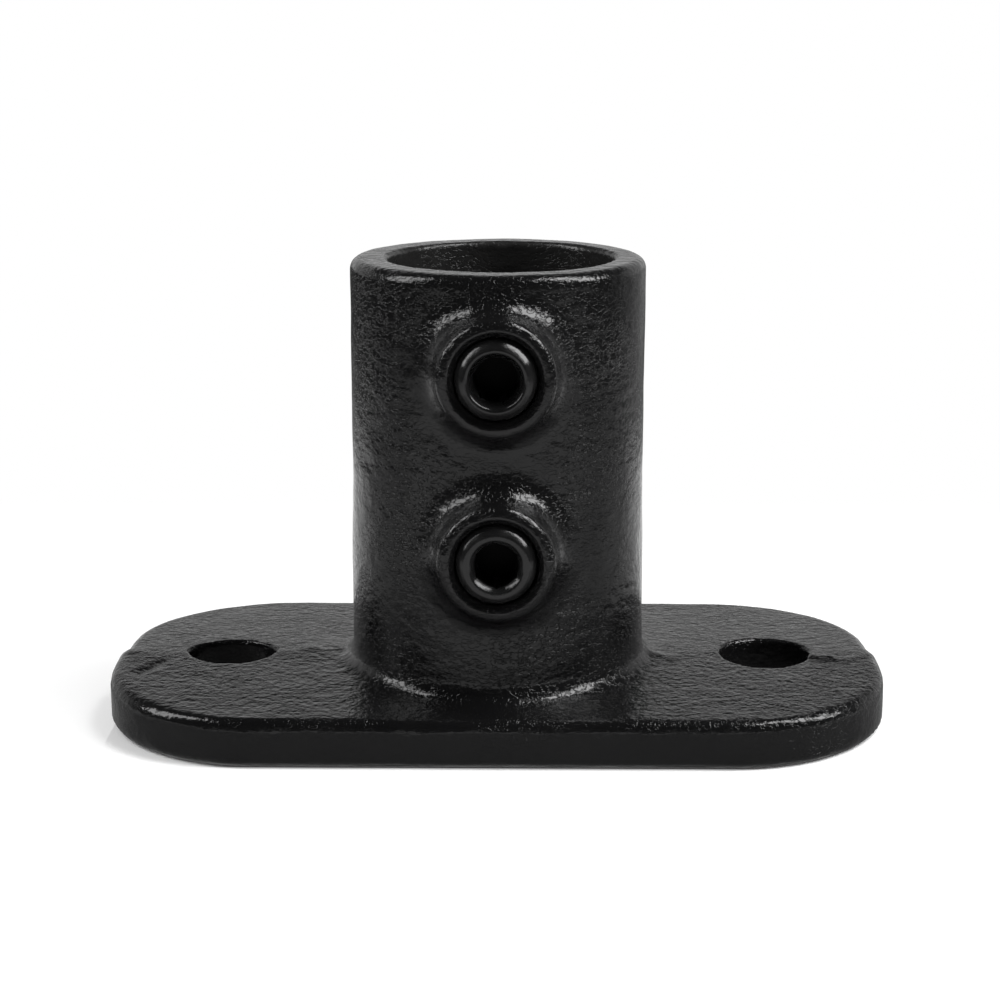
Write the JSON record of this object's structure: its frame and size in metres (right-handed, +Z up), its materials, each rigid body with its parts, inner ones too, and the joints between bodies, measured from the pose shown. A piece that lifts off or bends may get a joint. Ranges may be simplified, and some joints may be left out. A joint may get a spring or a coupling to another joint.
{
  "type": "tube clamp base flange",
  "caption": "Cast floor flange with an upright tube socket; socket set screws on the front clamp the tube and bolt holes in the oval plate fix it down.",
  "frame": {"origin": "centre of the flat underside of the plate, midway between the two floor bolts", "axes": "+Z up along the tube socket, +X along the plate through the floor bolts, the set screws face -Y"},
  "size_m": [0.12, 0.062, 0.0713],
  "materials": {
    "black_coated_casting": "gloss",
    "black_screw": "gloss"
  },
  "bodies": {
    "casting": {"base_flange": "black_coated_casting"},
    "upper_screw": {"set_screw_upper": "black_screw"},
    "lower_screw": {"set_screw_lower": "black_screw"}
  },
  "joints": [
    {"name": "upper_screw_travel", "type": "slide", "parent": "casting", "child": "upper_screw", "axis": [0, -1, 0], "range_m": [-0.0015, 0.005]},
    {"name": "lower_screw_travel", "type": "slide", "parent": "casting", "child": "lower_screw", "axis": [0, -1, 0], "range_m": [-0.0015, 0.005]}
  ]
}
